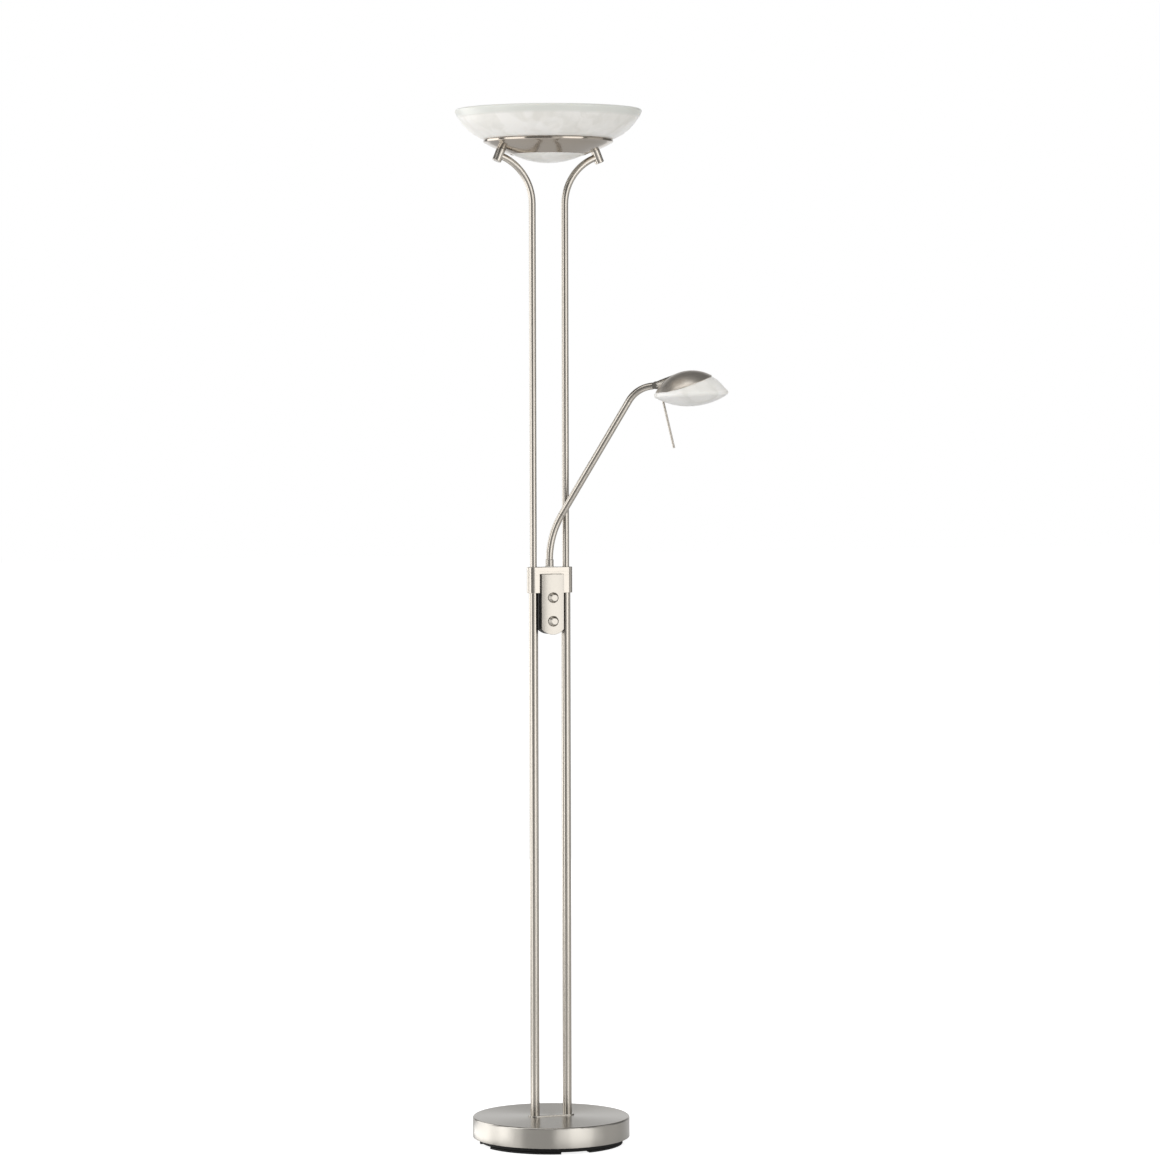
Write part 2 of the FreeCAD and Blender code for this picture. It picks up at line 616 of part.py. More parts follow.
def make_dimmers():
    board = new_body("dimmer_board")
    middle = "(upper_knob_level + lower_knob_level) / 2"
    low, high = f"{middle} - board_height / 2", f"{middle} + board_height / 2"
    draw = draw_chain(facing(board, "board_depth"), [
        ("-board_width / 2", low), ("board_width / 2", low), ("board_width / 2", high), ("-board_width / 2", high)])
    pad(board, draw, "board_thickness", backwards=True)
    keep(board, "dimmer_board")
    for name in ("upper", "lower"):
        level = f"{name}_knob_level"
        body = new_body(f"{name}_dimmer")
        case = facing(body, "board_depth")
        low, high = f"{level} - dimmer_side / 2", f"{level} + dimmer_side / 2"
        draw_chain(case, [("-dimmer_side / 2", low), ("dimmer_side / 2", low),
                          ("dimmer_side / 2", high), ("-dimmer_side / 2", high)])
        pad(body, case, "housing_front - board_depth")
        bush = draw_circle(facing(body, "housing_front"), "0", level, "dimmer_bush_radius")
        pad(body, bush, "cover_side + cover_crown")
        bore = draw_circle(facing(body, crown_front), "0", level, "shaft_radius + running_gap")
        pocket(body, bore, f"{crown_front} - board_depth - shaft_end_gap")
        keep(body, f"{name}_dimmer")

        facing_front = Placement(Vector(0, -value(f"{crown_front} + knob_gap"), value(level)),
                                 Rotation(Vector(1, 0, 0), 90))
        shaft_back = f"-({crown_front} + knob_gap - board_depth - 2 * shaft_end_gap)"
        shaft = turned(f"{name}_shaft", [
            ("0", shaft_back), ("shaft_radius", shaft_back), ("shaft_radius", "knob_height - shaft_cover"),
            ("0", "knob_height - shaft_cover")])
        shaft.Placement = facing_front
        knob = turned(f"{name}_knob", [
            ("shaft_radius", "0"), ("knob_radius", "0"), ("knob_radius", "knob_skirt"),
            ("knob_face_radius", "knob_height - knob_edge"), ("knob_face_radius - knob_edge", "knob_height"),
            ("0", "knob_height"), ("0", "knob_height - shaft_cover"),
            ("shaft_radius", "knob_height - shaft_cover")])
        knob.Placement = facing_front


# --- shade and dish ----------------------------------------------------------------------------------

shade_arc_rise = "sqrt(shade_arc ^ 2 - (shade_radius - shade_arc_centre) ^ 2)"
shade_arc_level = f"(rim_level + {shade_arc_rise})"
lip_run = "(lip_radius - shade_arc_centre)"
lip_drop = f"sqrt(shade_arc ^ 2 - {lip_run} ^ 2)"
glass_at_lip = f"({shade_arc_level} - {lip_drop})"
glass_slope = f"({lip_run} / {lip_drop})"
wall_rise = f"(dish_wall / cos({slope}))"
lip_top = f"({glass_at_lip} - dish_wall * {glass_slope} - seat_gap)"


def dish_under(radius):
    return f"(dish_hole_level + ({radius} - dish_hole_radius) * tan({slope}))"


def make_brackets():
    axis_up = Placement(
        Vector(value(f"{seat_reach} + bracket_height * sin({slope})"), 0,
               value(f"{seat_level} - bracket_height * cos({slope})")), turn_y(f"-{slope}"))
    for side, place in SIDES.items():
        body = turned(f"shade_bracket_{side}", [
            ("0", "0"), ("bracket_radius - bracket_edge", "0"), ("bracket_radius", "bracket_edge"),
            ("bracket_radius", "bracket_height - bracket_edge / 2"),
            ("bracket_radius - bracket_edge / 2", "bracket_height"), ("0", "bracket_height")])
        socket = new_sketch(body, "YZ_Plane", f"-{bracket_axis_gap} + seat_gap")
        draw_circle(socket, "0", "bracket_height / 2", "upper_pole_radius + running_gap")
        pocket(body, socket, "bracket_radius")
        thread = draw_circle(new_sketch(body, "XY_Plane", "bracket_height"), "0", "0", "bracket_screw_radius")
        pocket(body, thread, "bracket_screw_depth + seat_gap")
        body.Placement = place * axis_up
    stack = f"(dish_wall + bridge_lift + bridge_thickness * cos({slope}))"
    screw = turned("bracket_screw", [
        ("0", "-bracket_screw_depth"), ("bracket_screw_radius", "-bracket_screw_depth"),
        ("bracket_screw_radius", stack), ("bracket_head_radius", stack),
        ("bracket_head_radius", f"{stack} + bracket_head_height / 2"),
        ("bracket_head_radius / 2", f"{stack} + bracket_head_height"), ("0", f"{stack} + bracket_head_height")])
    del nodes["bracket_screw"]
    top = axis_up * Placement(Vector(0, 0, value("bracket_height")), Rotation())
    group("bracket_screws", screw, [place * top for place in SIDES.values()])


def tilted_holes(body, radius, length):
    """Holes for the bracket screws, square to the dish's wall."""
    for place in SIDES.values():
        sketch = new_sketch(body, "XY_Plane")
        sketch.AttachmentOffset = place * Placement(
            Vector(value(seat_reach), 0, value(seat_level)), turn_y(f"-{slope}"))
        draw_circle(sketch, "0", "0", radius)
        pocket(body, sketch, length, both_ways=True)


def make_dish():
    corner = "(dish_radius - dish_wall / 2)"
    body = turned("shade_dish", [
        ("dish_hole_radius", "dish_hole_level"), ("dish_radius", dish_under("dish_radius")),
        ("lip_radius", lip_top), ("lip_radius - dish_wall", lip_top),
        (corner, f"{dish_under(corner)} + {wall_rise}"),
        ("dish_hole_radius", f"dish_hole_level + {wall_rise}")])
    tilted_holes(body, "bracket_screw_radius + seat_gap", "bracket_screw_depth")


def make_shade_glass():
    foot_level = f"({glass_at_lip} - (lip_radius - shade_foot_radius) * {glass_slope})"
    inwards = "shade_wall / shade_arc"
    inner_rim = f"shade_arc_centre + sqrt((shade_arc - shade_wall) ^ 2 - {shade_arc_rise} ^ 2)"
    turned("shade_glass", [
        ("shade_foot_radius", foot_level), ("lip_radius", glass_at_lip), ("shade_radius", "rim_level"),
        (inner_rim, "rim_level"),
        (f"lip_radius - {lip_run} * {inwards}", f"{glass_at_lip} + {lip_drop} * {inwards}"),
        (f"shade_foot_radius - {lip_run} * {inwards}", f"{foot_level} + {lip_drop} * {inwards}")],
        {1: ("shade_arc", 1), 3: ("shade_arc - shade_wall", -1)})


def make_lower_glass():
    seat = f"(dish_hole_level + {wall_rise} + seat_gap)"
    centre = f"({seat} + sqrt(lower_glass_arc ^ 2 - dish_hole_radius ^ 2))"
    edge_drop = "sqrt(lower_glass_arc ^ 2 - lower_glass_radius ^ 2)"
    inner = "(1 - lower_glass_wall / lower_glass_arc)"
    turned("lower_glass", [
        ("0", f"{centre} - lower_glass_arc"), ("lower_glass_radius", f"{centre} - {edge_drop}"),
        (f"lower_glass_radius * {inner}", f"{centre} - {edge_drop} * {inner}"),
        ("0", f"{centre} - lower_glass_arc + lower_glass_wall")],
        {0: ("lower_glass_arc", 1), 2: ("lower_glass_arc - lower_glass_wall", -1)})


bridge_x = f"({seat_reach} - (dish_wall + bridge_lift) * sin({slope}))"
bridge_z = f"({seat_level} + (dish_wall + bridge_lift) * cos({slope}))"
bridge_top = f"({bridge_z} - bridge_tab * sin({slope}) + bridge_rise + bridge_thickness)"


def make_lamp_bridge():
    body = new_body("lamp_bridge")
    run, climb = f"bridge_tab * cos({slope})", f"bridge_tab * sin({slope})"
    under = [(f"{bridge_x} + {run}", f"{bridge_z} + {climb}"), (f"{bridge_x} - {run}", f"{bridge_z} - {climb}"),
             (f"{bridge_x} - {run} - bridge_rise", f"{bridge_z} - {climb} + bridge_rise")]
    right_to_left = under + [(f"-({x})", z) for x, z in reversed(under)]
    over = [(x, f"{z} + bridge_thickness") for x, z in reversed(right_to_left)]
    pad(body, draw_chain(facing(body, None), right_to_left + over), "bridge_width", both_ways=True)
    tilted_holes(body, "bracket_screw_radius + seat_gap", "bracket_height")
    keep(body, "lamp_bridge")


def make_lamp():
    level = value(f"{bridge_top} + lamp_level")
    along = Placement(Vector(0, 0, level), turn_y("90"))
    socket = new_body("socket")
    half_length, half_depth = "socket_length / 2", "socket_depth / 2"
    outline = draw_chain(new_sketch(socket, "XY_Plane"), [
        (f"-{half_length}", f"-{half_depth}"), (half_length, f"-{half_depth}"), (half_length, half_depth),
        (f"-{half_length}", half_depth)])
    pad(socket, outline, "socket_height")
    contact = draw_circle(new_sketch(socket, "YZ_Plane"), "0", "lamp_level", "lamp_cap_radius + seat_gap")
    pocket(socket, contact, "socket_length / 2")
    reach = Vector(value("socket_spacing / 2"), 0, value(bridge_top))
    group("lamp_sockets", socket, [place * Placement(reach, Rotation()) for place in SIDES.values()])

    glass_end, cap_end = "lamp_glass_length / 2", "socket_spacing / 2 - seat_gap"
    lamp = turned("shade_lamp", [
        ("0", f"-({cap_end})"), ("lamp_cap_radius", f"-({cap_end})"), ("lamp_cap_radius", f"-({glass_end})"),
        ("lamp_radius", f"-({glass_end}) + 1"), ("lamp_radius", f"{glass_end} - 1"),
        ("lamp_cap_radius", glass_end), ("lamp_cap_radius", cap_end), ("0", cap_end)])
    lamp.Placement = along

    reflector = new_body("reflector")
    centre, half = f"({bridge_top} + reflector_arc)", "(reflector_width / 2)"
    rise = f"sqrt(reflector_arc ^ 2 - {half} ^ 2)"
    inner = "(1 - reflector_wall / reflector_arc)"
    section = draw_chain(new_sketch(reflector, "YZ_Plane"), [
        (f"-{half}", f"{centre} - {rise}"), (half, f"{centre} - {rise}"),
        (f"{half} * {inner}", f"{centre} - {rise} * {inner}"),
        (f"-{half} * {inner}", f"{centre} - {rise} * {inner}")],
        {0: ("reflector_arc", 1), 2: ("reflector_arc - reflector_wall", -1)})
    pad(reflector, section, "reflector_length", both_ways=True)
    keep(reflector, "reflector")


# --- reading arm -------------------------------------------------------------------------------------
# The arm lies in an upright plane through the lamp's axis, turned from +X towards the front.

arm_plane = Placement(Vector(), Rotation(UP, -value("arm_azimuth")))
arm_base = f"({collar_top} + seat_gap + arm_washer_thickness)"
lower_bend_level = f"({arm_base} + arm_root_straight)"
lower_end = ("arm_lower_bend * (1 - cos(arm_lean))", f"{lower_bend_level} + arm_lower_bend * sin(arm_lean)")
upper_turn = "(90 - arm_tip_rise - arm_lean)"
upper_end = (f"arm_upper_bend * (1 - cos({upper_turn}))", f"arm_upper_bend * sin({upper_turn})")
tip_end = (f"{upper_end[0]} + arm_tip_straight * sin({upper_turn})",
           f"{upper_end[1]} + arm_tip_straight * cos({upper_turn})")


def at(point, tilt="0"):
    """Place in the arm's plane, whose Z axis leans outward by tilt."""
    return Placement(Vector(value(point[0]), 0, value(point[1])), turn_y(tilt))


straight_start = arm_plane * at(lower_end, "arm_lean")
straight_end = straight_start * at(("0", "arm_straight_length"))
tip_frame = straight_end * at(tip_end, upper_turn)


def make_arm():
    spindle = turned("arm_spindle", ring_corners(
        "swivel_shaft_radius", arm_bore, f"{collar_top} - spindle_drop", f"{lower_bend_level} - seat_gap"))
    washer = turned("arm_washer", ring_corners(
        arm_bore, "arm_washer_radius", f"{collar_top} + seat_gap", arm_base))
    sleeve = turned("arm_sleeve", [
        ("arm_tube_radius", arm_base), ("arm_sleeve_radius", arm_base),
        ("arm_sleeve_radius", f"{lower_bend_level} - arm_seam"),
        ("arm_sleeve_radius - arm_seam", lower_bend_level), ("arm_tube_radius", lower_bend_level)])
    nut = hexagon_nut("spindle_nut", "spindle_nut_flats", "spindle_nut_height", arm_bore)
    keep(nut, "spindle_nut")
    nut.Placement = arm_plane * at(("0", f"{collar_top} - collar_web - seat_gap - spindle_nut_height"))
    lower = new_body("arm_lower_tube")
    pipe(lower, "XY_Plane", "arm_tube_radius", "arm_tube_wall",
         [("0", arm_base), ("0", lower_bend_level), lower_end], {1: ("arm_lower_bend", -1)}, ("0", arm_base))
    keep(lower, "arm_lower_tube")
    for item in (spindle, washer, sleeve, lower):
        item.Placement = arm_plane

    straight = turned("arm_straight_tube", [
        (arm_bore, "0"), ("arm_tube_radius - arm_seam", "0"), ("arm_tube_radius", "arm_seam"),
        ("arm_tube_radius", "arm_straight_length - arm_seam"),
        ("arm_tube_radius - arm_seam", "arm_straight_length"), (arm_bore, "arm_straight_length")])
    straight.Placement = straight_start
    upper = new_body("arm_upper_tube")
    pipe(upper, "XY_Plane", "arm_tube_radius", "arm_tube_wall",
         [("0", "0"), upper_end, tip_end], {0: ("arm_upper_bend", -1)}, ("0", None))
    upper.Placement = straight_end
    keep(upper, "arm_upper_tube")

    nose = f"({arm_bore} - joiner_play)"
    joiner = turned("joiner", [
        ("swivel_shaft_radius", "-joiner_nose"), (nose, "-joiner_nose"), (nose, "0"), (arm_bore, "0"),
        (arm_bore, "joiner_length"), ("swivel_shaft_radius", "joiner_length")])
    del nodes["joiner"]
    upside_down = Placement(Vector(), turn_y("180"))
    group("arm_joiners", joiner, [straight_start, straight_end * upside_down])


def make_tip_swivel():
    bush = turned("tip_bush", [
        ("swivel_shaft_radius + running_gap", "-tip_bush_length"),
        (f"{arm_bore} - bush_play", "-tip_bush_length"), (f"{arm_bore} - bush_play", "0"),
        ("arm_tube_radius", "0"), ("arm_tube_radius", "tip_bush_flange"),
        ("swivel_shaft_radius + running_gap", "tip_bush_flange")])
    bush.Placement = tip_frame
    swivel_back = "(tip_bush_flange + seat_gap)"
    shaft_back = "-(tip_bush_length + 2 * clip_thickness)"
    swivel = turned("knuckle_swivel", [
        ("0", shaft_back), ("swivel_shaft_radius", shaft_back), ("swivel_shaft_radius", swivel_back),
        ("arm_tube_radius", swivel_back), ("arm_tube_radius", f"{swivel_back} + swivel_length"),
        ("0", f"{swivel_back} + swivel_length")])
    tongue_radius = "(knuckle_radius - knuckle_gap)"
    tongue_back = f"{swivel_back} + swivel_length / 2"
    tongue = facing(swivel, None)
    draw_chain(tongue, [
        (f"-{tongue_radius}", tongue_back), (tongue_radius, tongue_back), (tongue_radius, "pivot_reach"),
        ("0", f"pivot_reach + {tongue_radius}"), (f"-{tongue_radius}", "pivot_reach")],
        {2: (tongue_radius, 1), 3: (tongue_radius, 1)})
    pad(swivel, tongue, "tongue_thickness", both_ways=True)
    pin_hole = draw_circle(facing(swivel, None), "0", "pivot_reach", "knuckle_pin_radius + running_gap")
    pocket(swivel, pin_hole, "2 * knuckle_radius", both_ways=True)
    swivel.Placement = tip_frame
    clip = turned("swivel_clip", ring_corners(
        "swivel_shaft_radius", "clip_radius", "-(tip_bush_length + seat_gap + clip_thickness)",
        "-(tip_bush_length + seat_gap)"))
    clip.Placement = tip_frame


# --- reading head ------------------------------------------------------------------------------------

pivot_frame = tip_frame * at(("0", "pivot_reach"), "-90")
level_frame = Placement(pivot_frame.Base, arm_plane.Rotation)
cap_centre = ("cap_centre_reach", "-cap_centre_drop")
cap_frame = level_frame * at(cap_centre, "-cap_tilt")
glass_frame = level_frame * at(cap_centre, "-head_glass_tilt")
rod_frame = level_frame * at(("rod_reach", "-rod_drop"), "-rod_tilt")
cap_inner_arc = "(cap_arc - cap_wall)"
glass_arc = f"({cap_inner_arc} - glass_gap)"


def ball(name, radius, centre):
    item = bind(doc.addObject("Part::Sphere", name), Radius=radius)
    item.Placement = Placement(centre, Rotation())
    return item


def make_neck():
    blank = new_body("neck_blank")
    cone = draw_chain(new_sketch(blank, "XZ_Plane"), [
        ("0", "0"), ("neck_length", "0"), ("neck_length", "neck_radius + neck_length * tan(neck_flare)"),
        ("0", "neck_radius")])
    revolve(blank, cone, "H_Axis")
    knuckle = draw_circle(facing(blank, None), "0", "0", "neck_radius")
    pad(blank, knuckle, "2 * knuckle_radius", both_ways=True)
    slot = facing(blank, None)
    back, front, side = "-2 * neck_radius", "knuckle_radius + knuckle_gap", "2 * neck_radius"
    draw_chain(slot, [(back, f"-({side})"), (front, f"-({side})"), (front, side), (back, side)])
    pocket(blank, slot, "tongue_thickness + knuckle_gap", both_ways=True)
    pin_hole = draw_circle(facing(blank, None), "0", "0", "knuckle_pin_radius")
    pocket(blank, pin_hole, "4 * neck_radius", both_ways=True)
    blank.Placement = pivot_frame
    neck = cut("head_neck", blank, ball("neck_seat", "cap_arc", cap_frame.Base))
    keep(neck, "head_neck")
    pin = turned("knuckle_pin", [
        ("0", "-knuckle_radius"), ("knuckle_pin_radius", "-knuckle_radius"),
        ("knuckle_pin_radius", "knuckle_radius"), ("0", "knuckle_radius")])
    pin.Placement = pivot_frame * Placement(Vector(), Rotation(Vector(1, 0, 0), 90))


def make_head_cap():
    rim_level = "sqrt(cap_arc ^ 2 - cap_rim_radius ^ 2)"
    inner = "(1 - cap_wall / cap_arc)"
    cap = turned("head_cap", [
        ("cap_rim_radius", rim_level), ("0", "cap_arc"), ("0", cap_inner_arc),
        (f"cap_rim_radius * {inner}", f"{rim_level} * {inner}")],
        {0: ("cap_arc", 1), 2: (cap_inner_arc, -1)})
    cap.Placement = cap_frame


def make_head_glass():
    wall = "head_glass_wall"
    edge, edge_reach = "head_glass_edge", "(head_glass_radius - head_glass_edge)"
    edge_level = f"sqrt(({glass_arc} - {edge}) ^ 2 - {edge_reach} ^ 2)"
    bowl_arc = f"((head_glass_sag ^ 2 + {edge_reach} ^ 2 - {edge} ^ 2) / (2 * (head_glass_sag - {edge})))"
    bottom = f"({edge_level} - head_glass_sag)"
    centre = f"({bottom} + {bowl_arc})"
    hole_level = f"sqrt({glass_arc} ^ 2 - head_glass_hole ^ 2)"

    def below_edge(skin):
        out = f"(({bowl_arc} - {skin}) / ({bowl_arc} - {edge}))"
        return f"{edge_reach} * {out}", f"{centre} + ({edge_level} - {centre}) * {out}"

    def above_edge(skin):
        out = f"(({glass_arc} - {skin}) / ({glass_arc} - {edge}))"
        return f"{edge_reach} * {out}", f"{edge_level} * {out}"

    inner = f"(1 - {wall} / {glass_arc})"
    blank = turned("head_glass", [
        ("0", bottom), below_edge("0"), above_edge("0"), ("head_glass_hole", hole_level),
        (f"head_glass_hole * {inner}", f"{hole_level} * {inner}"), above_edge(wall), below_edge(wall),
        ("0", f"{bottom} + {wall}")],
        {0: (bowl_arc, 1), 1: (edge, 1), 2: (glass_arc, 1), 4: (f"{glass_arc} - {wall}", -1),
         5: (f"{edge} - {wall}", -1), 6: (f"{bowl_arc} - {wall}", -1)})
    blank.Label = "head_glass_blank"
    blank.Placement = glass_frame
    rod_way = cylinder("rod_way", "rod_radius + glass_gap", "2 * rod_length")
    rod_way.Placement = rod_frame * at(("0", "-rod_length"))
    boss_way = cylinder("boss_way", "rod_boss_radius + glass_gap", "rod_length")
    boss_way.Placement = rod_frame * at(("0", "rod_boss_rise"))
    keep(cut("head_glass", cut("glass_with_rod_way", blank, rod_way), boss_way), "head_glass")


def inside_cap(label, blank):
    """Part of a piece that lies below the cap's inner face, which it is brazed to."""
    item = doc.addObject("Part::Common", label)
    item.Base, item.Tool = blank, ball(f"{label}_seat", cap_inner_arc, cap_frame.Base)
    return keep(item, label)


def make_handle_rod():
    end = "rod_boss_rise + rod_grip"
    rod = turned("handle_rod", [
        ("0", "-rod_length"), ("rod_radius - arm_seam", "-rod_length"), ("rod_radius", "-rod_length + arm_seam"),
        ("rod_radius", end), ("0", end)])
    rod.Placement = rod_frame
    boss = turned("rod_boss", [
        ("rod_radius", "rod_boss_rise"), ("rod_boss_radius", "rod_boss_rise"),
        ("rod_boss_radius", "2 * rod_boss_rise"), ("0", "2 * rod_boss_rise"), ("0", end), ("rod_radius", end)])
    boss.Placement = rod_frame
    inside_cap("rod_boss", boss)


def make_reading_lamp():
    socket_foot = f"{cap_inner_arc} - reading_socket_length"
    socket = turned("reading_socket", [
        ("0", socket_foot), ("reading_socket_radius", socket_foot), ("reading_socket_radius", cap_inner_arc),
        ("0", cap_inner_arc)])
    socket.Placement = glass_frame
    inside_cap("reading_socket", socket)
    lamp_foot = f"{socket_foot} - reading_lamp_length"
    lamp = turned("reading_lamp", [
        ("0", lamp_foot), ("reading_lamp_radius", f"{lamp_foot} + reading_lamp_radius"),
        ("reading_lamp_radius", socket_foot), ("0", socket_foot)], {0: ("reading_lamp_radius", 1)})
    lamp.Placement = glass_frame


for make in (make_foot_pads, make_base_plate, make_base_weight, make_base_cover, make_plate_screws,
             make_pole_fixings, make_gland, make_foot_plate, make_poles, make_collar,
             make_switch_housing, make_switch_cover, make_dimmers,
             make_brackets, make_dish, make_shade_glass, make_lower_glass, make_lamp_bridge, make_lamp,
             make_arm, make_tip_swivel, make_neck, make_head_cap, make_head_glass, make_handle_rod,
             make_reading_lamp):
    make()

doc.recompute()
for item in doc.Objects:
    if "Invalid" in item.State or "Error" in item.State:
        raise ValueError(f"{item.Label} did not build")
for label, item in nodes.items():
    if item.Shape.isNull() or not item.Shape.isValid():
        raise ValueError(f"{label} has no valid shape")

os.makedirs("parts", exist_ok=True)
for label, item in nodes.items():
    item.Shape.exportStep(f"parts/{label}.step")

pivot = pivot_frame.Base
print(f"{len(nodes)} sub-parts, head pivot at {pivot.x:.3f} {pivot.y:.3f} {pivot.z:.3f}")
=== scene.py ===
import json
import math

import bpy
from mathutils import Matrix, Vector


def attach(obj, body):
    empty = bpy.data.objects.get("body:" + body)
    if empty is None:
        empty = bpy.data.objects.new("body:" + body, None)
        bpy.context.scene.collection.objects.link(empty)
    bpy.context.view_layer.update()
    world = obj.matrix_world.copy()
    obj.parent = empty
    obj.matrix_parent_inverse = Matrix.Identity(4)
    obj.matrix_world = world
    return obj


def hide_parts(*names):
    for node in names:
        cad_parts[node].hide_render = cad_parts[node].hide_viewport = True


# Floor lamp with two poles: an uplighter bowl of clouded white glass on a spun nickel dish, a nickel
# collar with a dimmer unit, a swinging reading arm with a saucer-shaped head, and a heavy round base.
# Metres. The lamp stands on z = 0, the poles are side by side in x, and the knobs face -y.

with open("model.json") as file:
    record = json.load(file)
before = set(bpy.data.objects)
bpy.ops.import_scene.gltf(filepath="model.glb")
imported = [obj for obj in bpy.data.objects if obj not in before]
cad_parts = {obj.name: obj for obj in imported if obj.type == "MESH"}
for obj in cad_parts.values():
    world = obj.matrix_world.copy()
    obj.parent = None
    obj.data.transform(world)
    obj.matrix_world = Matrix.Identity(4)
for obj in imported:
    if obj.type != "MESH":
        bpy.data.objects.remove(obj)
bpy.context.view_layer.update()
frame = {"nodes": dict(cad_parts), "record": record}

MM = 0.001


# --- colours and nodes -------------------------------------------------------------------------------

def linear(shade):
    """Shader colour of a colour as the eye sees it, written as sRGB hex."""
    channels = [int(shade[place:place + 2], 16) / 255 for place in (1, 3, 5)]
    return (*(c / 12.92 if c <= 0.04045 else ((c + 0.055) / 1.055) ** 2.4 for c in channels), 1)


def add_node(tree, kind, settings=None, links=None):
    """Adds a node of one kind to a tree, with values for its settings and sources for its inputs."""
    node = tree.nodes.new(kind)
    for name, amount in (settings or {}).items():
        if isinstance(name, str) and hasattr(node, name):
            setattr(node, name, amount)
        else:
            node.inputs[name].default_value = amount
    for name, source in (links or {}).items():
        tree.links.new(source, node.inputs[name])
    return node


def new_finish(name, shade, roughness, **sockets):
    """Material with a principled shader, and the object coordinates that its patterns are drawn in."""
    material = bpy.data.materials.new(name)
    material.use_nodes = True
    tree = material.node_tree
    shader = tree.nodes["Principled BSDF"]
    shader.inputs["Base Color"].default_value = linear(shade)
    shader.inputs["Roughness"].default_value = roughness
    for socket, amount in sockets.items():
        shader.inputs[socket.replace("_", " ")].default_value = amount
    place = add_node(tree, "ShaderNodeTexCoord").outputs["Object"]
    return material, tree, shader, place


def per_mm(size):
    """Texture scale at which one cell of a pattern is this many millimetres wide."""
    return 1 / (size * MM)


def vary(tree, shader, pattern, socket, low, high):
    """Lets a grey pattern move one value of the shader between two limits."""
    spread = add_node(tree, "ShaderNodeMapRange", {"To Min": low, "To Max": high}, {"Value": pattern})
    tree.links.new(spread.outputs["Result"], shader.inputs[socket])


def tint(tree, shader, pattern, dark, light, start=0.3, end=0.7):
    """Colours a surface between two shades by a grey pattern."""
    blend = add_node(tree, "ShaderNodeValToRGB", {}, {"Fac": pattern})
    for stop, position, shade in zip(blend.color_ramp.elements, (start, end), (dark, light)):
        stop.position, stop.color = position, linear(shade)
    tree.links.new(blend.outputs["Color"], shader.inputs["Base Color"])
    return blend


def emboss(tree, shader, pattern, depth, strength=1.0):
    """Raises a grey pattern on a surface by a depth in millimetres."""
    relief = add_node(tree, "ShaderNodeBump", {"Distance": depth * MM, "Strength": strength}, {
        "Height": pattern})
    tree.links.new(relief.outputs["Normal"], shader.inputs["Normal"])


# --- sizes of the modelled pieces, in millimetres -----------------------------------------------------

BOWL_CENTRE, BOWL_RADIUS, BOWL_WALL = (82.5, 1830.605), 85.6, 5.4
BOWL_RIM_LEVEL, BOWL_BAND, BOWL_SWELL = 1801.5, 13, 0.6
HEAD_CENTRE = (213.9245, -133.6749, 1277.6625)
ARM_DIRECTION = Vector((0.84805, -0.52992, 0))
CAP_TILT, CAP_ROLL, GLASS_TILT = math.radians(17.4), math.radians(8), math.radians(2.7)
CLOSED_TIP = 0.004  # radius at which a turned piece closes on its axis


# --- finishes ----------------------------------------------------------------------------------------

def satin_nickel_tube():
    """Steel tube, nickel plated and polished round and round: long, crisp highlights on warm grey."""
    material, tree, shader, place = new_finish(
        "satin_nickel_tube", "#B3ADA4", 0.23, Metallic=1.0, Anisotropic=0.65, Anisotropic_Rotation=0.25)
    surface = add_node(tree, "ShaderNodeNewGeometry")
    around = add_node(tree, "ShaderNodeVectorMath", {"operation": "CROSS_PRODUCT", 1: (0, 0, 1)}, {
        0: surface.outputs["Normal"]})
    tree.links.new(around.outputs["Vector"], shader.inputs["Tangent"])
    stretched = add_node(tree, "ShaderNodeMapping", {"Scale": (1, 1, 0.04)}, {"Vector": place})
    haze = add_node(tree, "ShaderNodeTexNoise", {"Scale": per_mm(3), "Detail": 3.0}, {
        "Vector": stretched.outputs[0]})
    vary(tree, shader, haze.outputs["Fac"], "Roughness", 0.22, 0.235)
    return material


def spun_nickel():
    """Steel sheet spun and brushed on a lathe, nickel plated: its fine rings pull reflections into rays."""
    material, tree, shader, place = new_finish(
        "spun_nickel", "#ADA9A2", 0.27, Metallic=1.0, Anisotropic=0.85, Anisotropic_Rotation=0.25)
    around = add_node(tree, "ShaderNodeTangent", {"direction_type": "RADIAL", "axis": "Z"})
    tree.links.new(around.outputs["Tangent"], shader.inputs["Tangent"])
    rings = add_node(tree, "ShaderNodeTexWave", {
        "wave_type": "RINGS", "rings_direction": "Z", "Scale": per_mm(9), "Distortion": 0.3, "Detail": 3.0,
        "Detail Scale": 2.0}, {"Vector": place})
    vary(tree, shader, rings.outputs["Fac"], "Roughness", 0.25, 0.29)
    return material


def satin_nickel_dome():
    """Pressed cap, nickel plated and satin polished by hand: broad, soft reflections."""
    material, tree, shader, place = new_finish("satin_nickel_dome", "#D2CBC1", 0.34, Metallic=1.0)
    haze = add_node(tree, "ShaderNodeTexNoise", {"Scale": per_mm(5), "Detail": 4.0}, {"Vector": place})
    vary(tree, shader, haze.outputs["Fac"], "Roughness", 0.3, 0.39)
    return material


def polished_nickel():
    """Spun dish, nickel plated and polished: it mirrors the brackets and the bent tubes softly."""
    material, tree, shader, place = new_finish("polished_nickel", "#B0A79C", 0.14, Metallic=1.0)
    haze = add_node(tree, "ShaderNodeTexNoise", {"Scale": per_mm(6), "Detail": 4.0}, {"Vector": place})
    vary(tree, shader, haze.outputs["Fac"], "Roughness", 0.11, 0.18)
    return material


